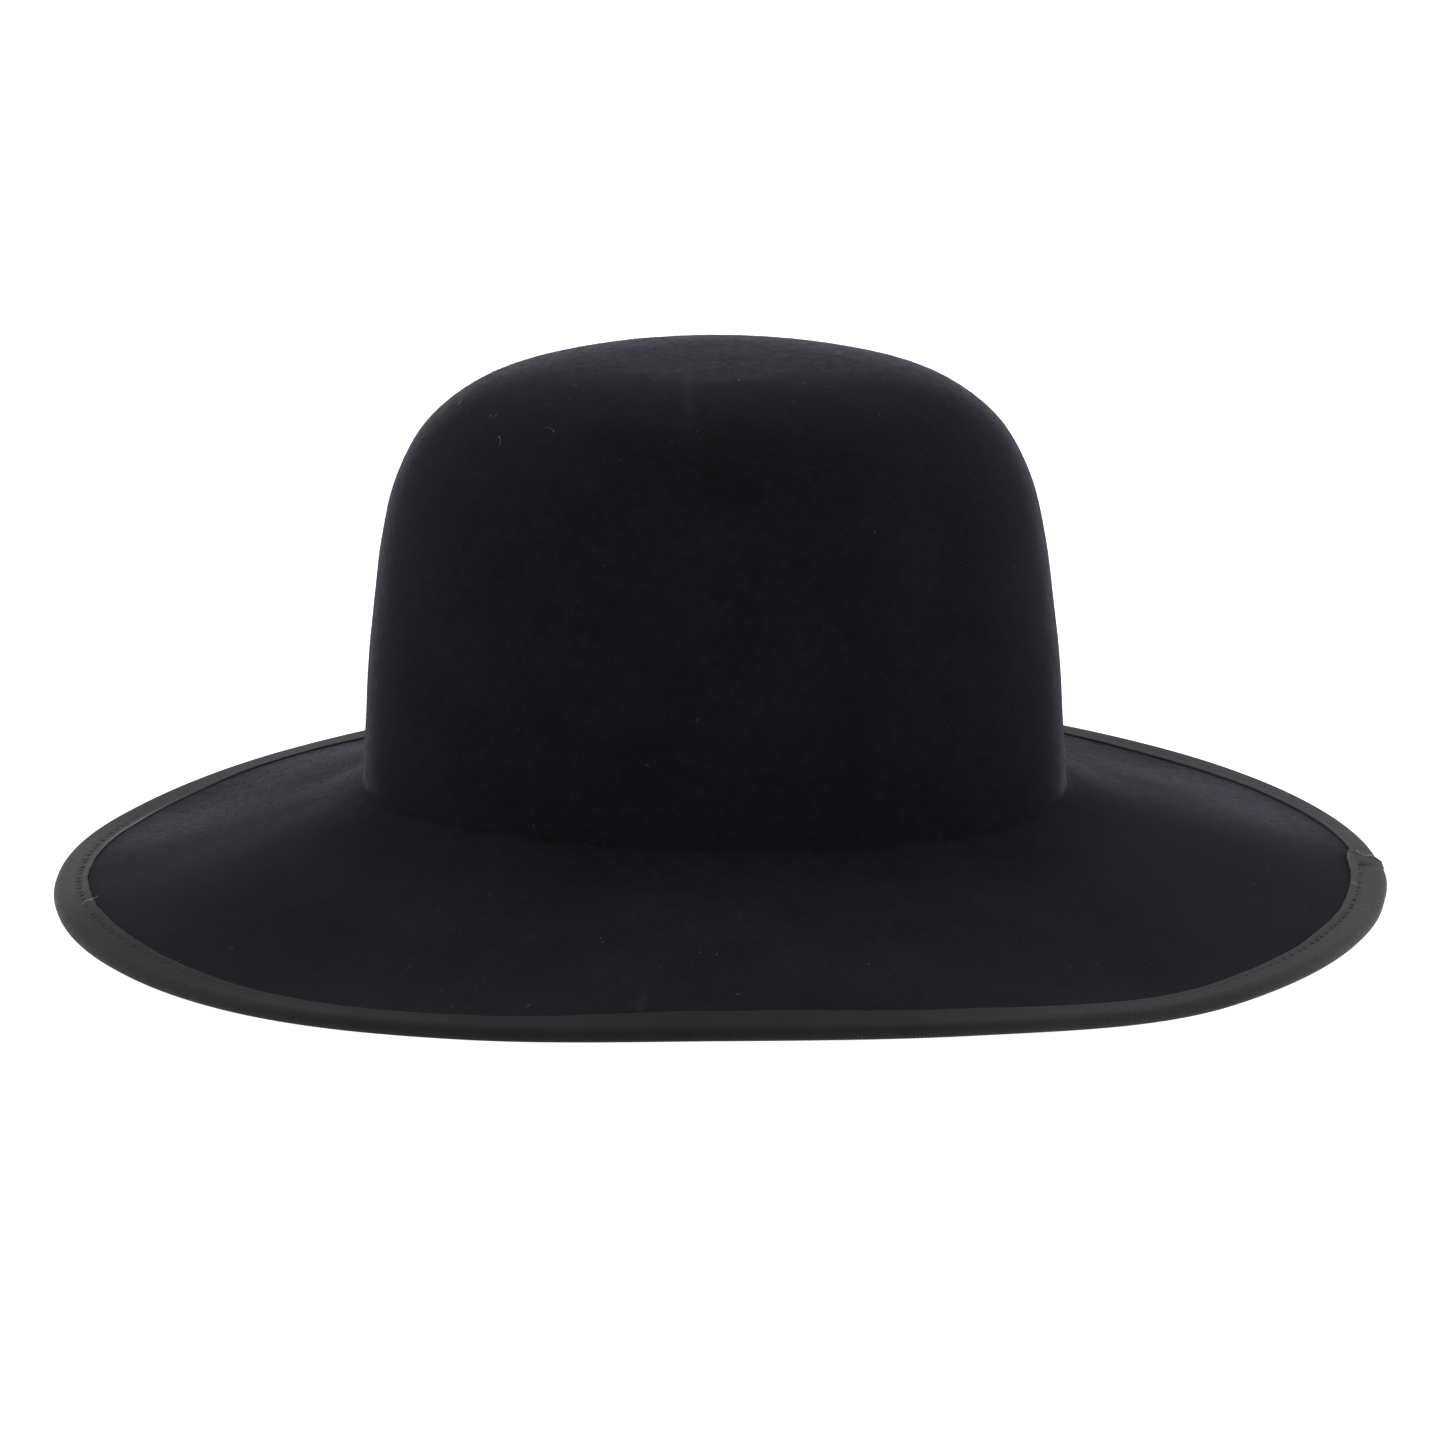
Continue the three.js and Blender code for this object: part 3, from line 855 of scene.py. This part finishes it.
def plain_ribbon():
    rings, inner, painted, along = ribbon_skin()
    dense, coarse = len(rings[0]), len(inner[0])
    points = in_place(np.concatenate(rings + inner))
    points[:, 2] = np.maximum(points[:, 2], 0)
    starts = [index * dense for index in range(len(rings))]
    inner_starts = [len(rings) * dense + index * coarse for index in range(len(inner))]
    faces = bands(starts, dense)
    faces += fan_faces(starts[-1], inner_starts[0], dense, coarse, dense_first=True)
    faces += bands(inner_starts, coarse)
    faces += fan_faces(starts[0], inner_starts[-1], dense, coarse, dense_first=False)
    ribbon = mesh_object("plain_ribbon", points, faces)
    length = along[1] * dense
    wave = np.sin(along / length * RIB_COUNT * 2 * np.pi + 0.4) * rib_strength(along, length)
    for name, values in {"rib_wave": [wave] * len(rings), **painted}.items():
        add_attribute(ribbon, name, np.concatenate(values + [np.zeros(len(inner) * coarse)]))
    return ribbon


def ribbed_surface_tree(material):
    """Ribs across the ribbon, and no point of it under the floor."""
    tree = new_tree("ribbed_surface", ["Rib Height", "Rib Unevenness", "Seed"])
    given = tree.nodes.new("NodeGroupInput").outputs
    place = tree.nodes.new("GeometryNodeInputPosition").outputs["Position"]
    facing = tree.nodes.new("GeometryNodeInputNormal").outputs["Normal"]
    patches = node_in(tree, "ShaderNodeTexNoise", {"noise_dimensions": "4D"},
                      Vector=place, W=given["Seed"], Scale=330.0, Detail=1.0)
    uneven = maths(tree, "SUBTRACT", patches.outputs[0], 0.5)
    uneven = maths(tree, "MULTIPLY", uneven, given["Rib Unevenness"])
    height = maths(tree, "MULTIPLY", given["Rib Height"], maths(tree, "ADD", uneven, 1.0))
    wave = maths(tree, "MULTIPLY", named(tree, "rib_wave"), named(tree, "ribbing"))
    offset = vectors(tree, "SCALE", facing, maths(tree, "MULTIPLY", height, wave))
    ribbed = node_in(tree, "GeometryNodeSetPosition", Geometry=given["Geometry"], Offset=offset)
    axes = node_in(tree, "ShaderNodeSeparateXYZ", Vector=place).outputs
    above = maths(tree, "MAXIMUM", axes["Z"], 0.0)
    level = node_in(tree, "ShaderNodeCombineXYZ", X=axes["X"], Y=axes["Y"], Z=above)
    on_floor = node_in(tree, "GeometryNodeSetPosition", Geometry=ribbed.outputs["Geometry"],
                       Position=level.outputs["Vector"])
    finish_tree(tree, on_floor.outputs["Geometry"], material)
    return tree


def grosgrain_finish():
    grosgrain, tree, shader = new_material("grosgrain")
    place = object_place(tree)
    # Painted shade between the ribs: grooves darker, crests lighter
    painted_rib_shade = scaled(tree, attribute_of(tree, "rib_wave"), -1, 1, 0, 1)
    threads = maths(tree, "MULTIPLY", attribute_of(tree, "across"), 2 * math.pi / THREAD_PITCH)
    threads = maths(tree, "SINE", threads)
    worn = noise_at(tree, place, 0.0016, detail=3, roughness=0.65)
    shade = noise_at(tree, place, 0.016)
    tone = maths(tree, "MULTIPLY", painted_rib_shade, 0.42)
    tone = maths(tree, "ADD", tone, scaled(tree, worn, 0.3, 0.7, 0, 0.34))
    tone = maths(tree, "ADD", tone, scaled(tree, shade, 0.3, 0.7, 0, 0.24))
    # Painted shade of the pleats, the dent and the stitch row darkens the tone
    tone = maths(tree, "SUBTRACT", tone, attribute_of(tree, "shaded"))
    tone = maths(tree, "MAXIMUM", tone, 0.0)
    # Painted highlight along the selvage lip, added to the tone
    pale = maths(tree, "MULTIPLY", attribute_of(tree, "pale"), PAINTED_HIGHLIGHT_STRENGTH)
    tone = maths(tree, "ADD", tone, pale)
    height = maths(tree, "ADD", maths(tree, "MULTIPLY", threads, 0.25), worn)
    raised(tree, height, shader, strength=0.4, distance=0.00012)
    give(
        tree, shader,
        Base_Color=mixed_colour(tree, tone, RIBBON_DARK, RIBBON_LIGHT, held=False),
        Roughness=scaled(tree, worn, 0.3, 0.7, 0.6, 0.78),
        # Painted shine sets how strongly the ribbon reflects
        Specular_IOR_Level=scaled(tree, attribute_of(tree, "painted_shine"), 0, 2, 0.08, 0.68),
        Specular_Tint=RIBBON_TINT,
        Sheen_Weight=0.03,
        Sheen_Roughness=SHEEN_ROUGHNESS,
        Sheen_Tint=RIBBON_TINT,
    )
    return grosgrain


brim_binding = made_by(
    ribbed_surface_tree(grosgrain_finish()),
    plain_ribbon(),
    "brim_binding",
    {"Rib Height": 0.00003, "Rib Unevenness": 1.2, "Seed": 3.0},
)
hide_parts("brim_binding")
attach(brim_binding, "root")


# Binding stitches. One row of black sewing thread holds the ribbon, 2.6 mm inside its selvages, with
# a stitch every 4.2 mm. The needle goes through ribbon, felt and ribbon, so the row shows above and
# below the brim. Each stitch slants across the row and draws a small pleat into the ribbon.

STITCH_SLANT = math.radians(64)
LEAST_HEIGHT = 0.2
THREAD_DARK = (0.0035, 0.0035, 0.0038)
THREAD_LIGHT = (0.0095, 0.0096, 0.0104)


def thread_tree(name, material):
    """Short bent thread on each point, in line with the point's heading."""
    numbers = ["Thread Length", "Thread Radius", "Arch", "Bend", "Slant Jitter"]
    tree = new_tree(name, numbers, ["Steps", "Sides", "Seed"])
    given = tree.nodes.new("NodeGroupInput").outputs
    half = maths(tree, "MULTIPLY", given["Thread Length"], 0.5)
    start = node_in(tree, "ShaderNodeCombineXYZ", X=maths(tree, "MULTIPLY", half, -1.0))
    middle = node_in(tree, "ShaderNodeCombineXYZ", Y=given["Bend"], Z=given["Arch"])
    end = node_in(tree, "ShaderNodeCombineXYZ", X=half)
    line = node_in(tree, "GeometryNodeCurveQuadraticBezier", Resolution=given["Steps"],
                   Start=start.outputs[0], Middle=middle.outputs[0], End=end.outputs[0])
    section = node_in(tree, "GeometryNodeCurvePrimitiveCircle", Resolution=given["Sides"],
                      Radius=given["Thread Radius"])
    thread = node_in(tree, "GeometryNodeCurveToMesh", Curve=line.outputs[0],
                     Profile_Curve=section.outputs["Curve"], Fill_Caps=True)
    smooth = node_in(tree, "GeometryNodeSetShadeSmooth", Geometry=thread.outputs[0])
    upright = node_in(tree, "FunctionNodeAlignRotationToVector", {"axis": "Z"},
                      Vector=named(tree, "facing", "FLOAT_VECTOR"))
    aligned = node_in(tree, "FunctionNodeAlignRotationToVector", {"axis": "X", "pivot_axis": "Z"},
                      Rotation=upright.outputs[0], Vector=named(tree, "heading", "FLOAT_VECTOR"))
    jitter = node_in(tree, "FunctionNodeRandomValue", {"data_type": "FLOAT"}, Seed=given["Seed"])
    turn = maths(tree, "SUBTRACT", jitter.outputs[1], 0.5)
    turn = maths(tree, "MULTIPLY", turn, given["Slant Jitter"])
    euler = node_in(tree, "ShaderNodeCombineXYZ", Z=turn)
    turned = node_in(tree, "FunctionNodeEulerToRotation", Euler=euler.outputs[0])
    rotation = node_in(tree, "FunctionNodeRotateRotation", {"rotation_space": "LOCAL"},
                       Rotation=aligned.outputs[0], Rotate_By=turned.outputs[0])
    placed = node_in(tree, "GeometryNodeInstanceOnPoints", Points=given["Geometry"],
                     Instance=smooth.outputs[0], Rotation=rotation.outputs[0],
                     Scale=named(tree, "stretch", "FLOAT_VECTOR"))
    finish_tree(tree, placed.outputs["Instances"], material)
    return tree


def together(*groups):
    return [np.concatenate(parts) for parts in zip(*groups)]


def thread_points(name, points, facings, headings, stretches):
    piece = mesh_object(name, in_place(points), [])
    for label, values in {"facing": facings, "heading": headings, "stretch": stretches}.items():
        add_attribute(piece, label, values, "FLOAT_VECTOR")
    return piece


def sewing_thread_finish():
    thread, tree, shader = new_material("sewing_thread")
    twist = noise_at(tree, object_place(tree), 0.0003)
    colour = mixed_colour(tree, twist, THREAD_DARK, THREAD_LIGHT)
    raised(tree, twist, shader, strength=0.4, distance=0.00005)
    give(tree, shader, Base_Color=colour, Roughness=0.65, Specular_IOR_Level=0.12)
    return thread


def stitch_row(across):
    """Points of one row: each stitch slants, from its needle hole towards the selvage."""
    bearing, along, pull = sewn_stitches()
    length = bearings_along_edge(STITCH_COUNT)[2]
    signed = from_seam(along, length)
    across = np.full(STITCH_COUNT, across)
    ground = ribbon_relief(STITCH_INSET, bearing)
    sunk = 0.22 - 0.1 * np.minimum(pull, 1)
    distance = RIBBON_OUTSIDE + ground - sunk + lap_rise(signed, across)
    point, facing, onward = ribbon_point(across, bearing, distance)
    ahead = np.cross(facing, onward)
    heading = ahead * math.cos(STITCH_SLANT) + onward * math.sin(STITCH_SLANT)
    height = point[:, 2] + HAT_SHIFT[2]
    point[:, 2] += np.maximum(LEAST_HEIGHT - height, 0)
    pick = np.random.default_rng(12)
    stretch = np.stack([0.55 + 0.55 * pull, np.ones(STITCH_COUNT), np.ones(STITCH_COUNT)], axis=1)
    stretch = stretch * pick.uniform(0.8, 1.15, stretch.shape)
    return point, facing, heading, stretch


binding_stitches = made_by(
    thread_tree("slanted_stitches", sewing_thread_finish()),
    thread_points("stitch_points", *together(
        stitch_row(STITCH_INSET),
        stitch_row(RIBBON_WIDTH - STITCH_INSET),
    )),
    "binding_stitches",
    {
        "Thread Length": 0.0015,
        "Thread Radius": 0.00013,
        "Arch": 0.00022,
        "Bend": 0.0,
        "Slant Jitter": 0.6,
        "Steps": 5,
        "Sides": 6,
        "Seed": 5,
    },
)
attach(binding_stitches, "root")


# Loose fibres. Light specks of fluff and a few fine curved hairs of fur have settled on the nap, and
# some pale thread ends lie along the turned end of the ribbon. They are caught there and not fixed.

# Station and bearing on the felt, length in millimetres, heading from the downhill line, bend
SEEN_SPECKS = np.array([
    (0.880, 259.2, 0.8, 70, 0.2),
    (0.807, 267.3, 0.9, 0, 0.1),
    (1.462, 249.3, 0.9, 80, 0.2),
    (1.231, 252.2, 0.5, 90, 0.0),
    (0.988, 239.9, 0.5, 40, 0.1),
    (0.383, 185.6, 1.0, 60, 0.3),
    (0.371, 207.0, 0.9, 20, 0.3),
    (0.502, 189.7, 0.5, 0, 0.0),
    (0.472, 218.0, 0.4, 30, 0.1),
    (0.194, 185.6, 0.5, 0, 0.0),
    (0.155, 206.1, 0.5, 0, 0.0),
    (0.286, 223.2, 0.8, 90, 0.3),
    (0.279, 219.6, 0.6, 45, 0.2),
    (0.186, 159.8, 0.6, 90, 0.1),
    (0.383, 196.2, 0.5, 0, 0.1),
    (0.055, 288.9, 0.6, 20, 0.3),
    (0.086, 247.0, 0.6, 10, 0.0),
    (0.109, 161.1, 0.6, 70, 0.1),
    (0.178, 312.3, 0.6, 80, 0.2),
    (0.232, 315.7, 0.5, 0, 0.0),
    (0.225, 338.2, 0.5, 0, 0.0),
    (0.236, 342.0, 0.8, 85, 0.3),
    (0.340, 315.7, 0.6, 20, 0.3),
    (0.537, 299.7, 0.5, 0, 0.1),
    (2.365, 271.6, 0.5, 0, 0.0),
    (2.412, 256.5, 0.8, 60, 0.2),
    (2.450, 243.9, 0.7, 10, 0.1),
    (2.552, 268.4, 0.7, 70, 0.2),
    (2.569, 270.2, 0.5, 80, 0.0),
    (2.191, 237.8, 0.6, 20, 0.3),
    (2.161, 241.7, 0.6, 90, 0.1),
])
SEEN_HAIRS = np.array([
    (0.371, 229.5, 4.0, 80, 0.8),
    (0.410, 218.3, 4.2, 50, 0.7),
    (0.383, 186.5, 2.4, 50, 0.5),
    (0.371, 208.5, 2.6, 10, 0.5),
    (2.700, 172.0, 2.6, 60, 0.7),
])
# Place across the ribbon, distance along it from its turned end (over 400: from the centre back),
# length, bend, heading from the line across, height over the ribbon, and 1 for a loop that stands up
RIBBON_HAIRS = np.array([
    (4.6, -3.0, 5.2, 1.5, 0, 1.95, 1),
    (5.6, -2.6, 3.4, 1.1, 0, 1.75, 1),
    (2.0, -2.4, 1.8, 0.7, 0, 1.4, 1),
    (7.8, -2.2, 2.4, 0.8, 0, 1.5, 1),
    (1.0, -35, 1.9, 0.3, -30, 0.35, 0),
    (6.0, -56, 0.7, 0.0, 20, 0.3, 0),
    (1.8, 613, 2.8, -1.6, 4, 0.4, 0),
    (-0.4, 611, 2.3, 0.6, 22, 0.5, 0),
])

HAIR_SIZES = {
    "Thread Length": 0.001,
    "Thread Radius": 0.000022,
    "Arch": 0.0001,
    "Bend": 0.0013,
    "Slant Jitter": 0.0,
    "Steps": 8,
    "Sides": 4,
    "Seed": 2,
}


def lint_finish(name, dark, light):
    lint, tree, shader = new_material(name)
    patches = noise_at(tree, object_place(tree), 0.012, roughness=0.6)
    tone = scaled(tree, patches, 0.35, 0.65, 0, 1)
    colour = mixed_colour(tree, tone, dark, light)
    give(tree, shader, Base_Color=colour, Roughness=0.8, Specular_IOR_Level=0.2)
    return lint


def bent_fibres(heading, length, bend, thickness=1.0):
    """Headings and stretches for fibres of the given lengths that bend to one side or the other."""
    side = np.where(bend < 0, -1, 1)
    stretch = np.stack([length, 0.4 + 0.8 * np.abs(bend), np.full(len(length), thickness)], axis=1)
    return heading * side[:, None], stretch


def turned_from(onward, ahead, angle):
    """Direction turned from one line towards another, square to it, by an angle in radians."""
    return onward * np.cos(angle)[:, None] + ahead * np.sin(angle)[:, None]


def on_the_felt(station, bearing, length, angle, bend, lift):
    """Places on the felt's outside for fibres of the given lengths, headings and bends."""
    point, normal, downhill = felt_upper(station, bearing)
    heading = turned_from(downhill, np.cross(normal, downhill), angle)
    return point + normal * lift, normal, *bent_fibres(heading, length, bend)


def seen_fibres(table, lift):
    station, bearing, length, angle, bend = table.T
    return on_the_felt(station, np.radians(bearing), length, np.radians(angle), bend, lift)


def settled_fibres(count, seed, length_range, lift):
    """Random places on the outside of the felt, evenly over its area."""
    pick = np.random.default_rng(seed)
    tries = count * 4
    station = np.concatenate([
        np.sqrt(pick.uniform(0, 0.16, tries // 3)) * 0.95,
        pick.uniform(0.3, 0.985, tries // 3),
        2.02 + 0.87 * np.sqrt(pick.uniform(0.05, 1, tries)),
    ])
    station = pick.permutation(station)[:count]
    bearing = pick.uniform(0, 2 * np.pi, count)
    angle = pick.uniform(0, 2 * np.pi, count)
    length = pick.uniform(*length_range, count) ** 1.5
    bend = length * pick.uniform(-0.6, 0.6, count)
    return on_the_felt(station, bearing, length, angle, bend, lift)


def ends_on_the_ribbon():
    """Pale thread ends on the turned end of the ribbon, and a hair over the selvage at the front."""
    bearing, along, length = bearings_along_edge(3600)
    across, off, size, bend, angle, lift, stands = RIBBON_HAIRS.T
    end = np.where(off < 400, lap_end(across), 0)
    places = np.interp((end + off) % length, along, bearing)
    rise = ribbon_relief(np.clip(across, 0, RIBBON_REACH), places) + lift
    point, facing, onward = ribbon_point(across, places, RIBBON_OUTSIDE + rise)
    ahead = np.cross(facing, onward)
    heading = turned_from(onward, ahead, np.radians(angle))
    facing = np.where(stands[:, None] == 1, ahead, facing)
    return point, facing, *bent_fibres(heading, size, bend, thickness=2.2)


lint = lint_finish("lint", dark=(0.05, 0.05, 0.053), light=(0.24, 0.24, 0.252))
pale_thread = lint_finish("pale_thread", dark=(0.22, 0.22, 0.23), light=(0.46, 0.46, 0.48))
fluff_specks = made_by(
    thread_tree("fluff_specks", lint),
    thread_points("speck_points", *together(
        seen_fibres(SEEN_SPECKS, lift=0.03),
        settled_fibres(count=620, seed=21, length_range=(0.18, 0.5), lift=0.03),
    )),
    "fluff_specks",
    {**HAIR_SIZES, "Thread Radius": 0.00004, "Arch": 0.00005, "Bend": 0.00015, "Steps": 3},
)
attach(fluff_specks, "root")

curved_hairs = made_by(
    thread_tree("curved_hairs", lint),
    thread_points("hair_points", *together(
        seen_fibres(SEEN_HAIRS, lift=0.05),
        settled_fibres(count=60, seed=35, length_range=(0.8, 1.4), lift=0.05),
    )),
    "curved_hairs",
    HAIR_SIZES,
)
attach(curved_hairs, "root")

thread_ends = made_by(
    thread_tree("thread_ends", pale_thread),
    thread_points("thread_end_points", *ends_on_the_ribbon()),
    "thread_ends",
    HAIR_SIZES,
)
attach(thread_ends, "root")


# Floor and lighting. The hat stands on a plain white light table in a white room, under one large
# soft box, with weak ones at either side and a fill beside the camera.

HAT_MIDDLE = Vector((0, 0, 0.06))
FLOOR_HALF = 6


def plain_floor():
    corners = np.array([(-1, -1, 0), (1, -1, 0), (1, 1, 0), (-1, 1, 0)]) * FLOOR_HALF
    floor = mesh_object("floor", corners, [(0, 1, 2, 3)])
    white, tree, shader = new_material("white_table")
    give(tree, shader, Base_Color=(0.4, 0.4, 0.4, 1), Roughness=0.8,
         Emission_Color=(1, 1, 1, 1), Emission_Strength=1.0)
    floor.data.materials.append(white)
    return floor


def soft_box(name, place, width, height, power):
    """Area light that is aimed at the middle of the hat."""
    light = bpy.data.lights.new(name, "AREA")
    light.shape = "RECTANGLE"
    light.size = width
    light.size_y = height
    light.energy = power
    lamp = in_the_scene(name, light)
    lamp.location = place
    lamp.rotation_euler = (HAT_MIDDLE - Vector(place)).to_track_quat("-Z", "Y").to_euler()


plain_floor()
soft_box("left_box", (-1.7, 0.5, 0.7), width=1.6, height=1.6, power=12)
soft_box("right_box", (1.7, 0.5, 0.7), width=1.6, height=1.6, power=9)
soft_box("overhead_box", (0, 0.4, 2.0), width=1.6, height=1.2, power=22)
soft_box("front_fill", (0.2, -2.4, 1.3), width=1.0, height=1.0, power=4)

world = bpy.data.worlds.new("white_room")
bpy.context.scene.world = world
world.use_nodes = True
give(world.node_tree, world.node_tree.nodes["Background"], Color=(1, 1, 1, 1), Strength=0.8)

elevation = math.radians(15.043)
tilt = math.radians(-0.24)
distance = 2.6
aim_point = Vector((0.000083, 0, 0.05041))
camera = in_the_scene("camera", bpy.data.cameras.new("camera"))
camera.data.sensor_width = 36
camera.data.lens = 226.3
camera.data.clip_end = 50
back = Vector((0, -math.cos(elevation), math.sin(elevation)))
camera.location = aim_point + back * distance
level = (-back).to_track_quat("-Z", "Y").to_matrix().to_4x4()
roll = Matrix.Rotation(tilt, 4, "Z")
camera.rotation_euler = (level @ roll).to_euler()
bpy.context.scene.camera = camera
bpy.context.scene.view_settings.view_transform = "Standard"
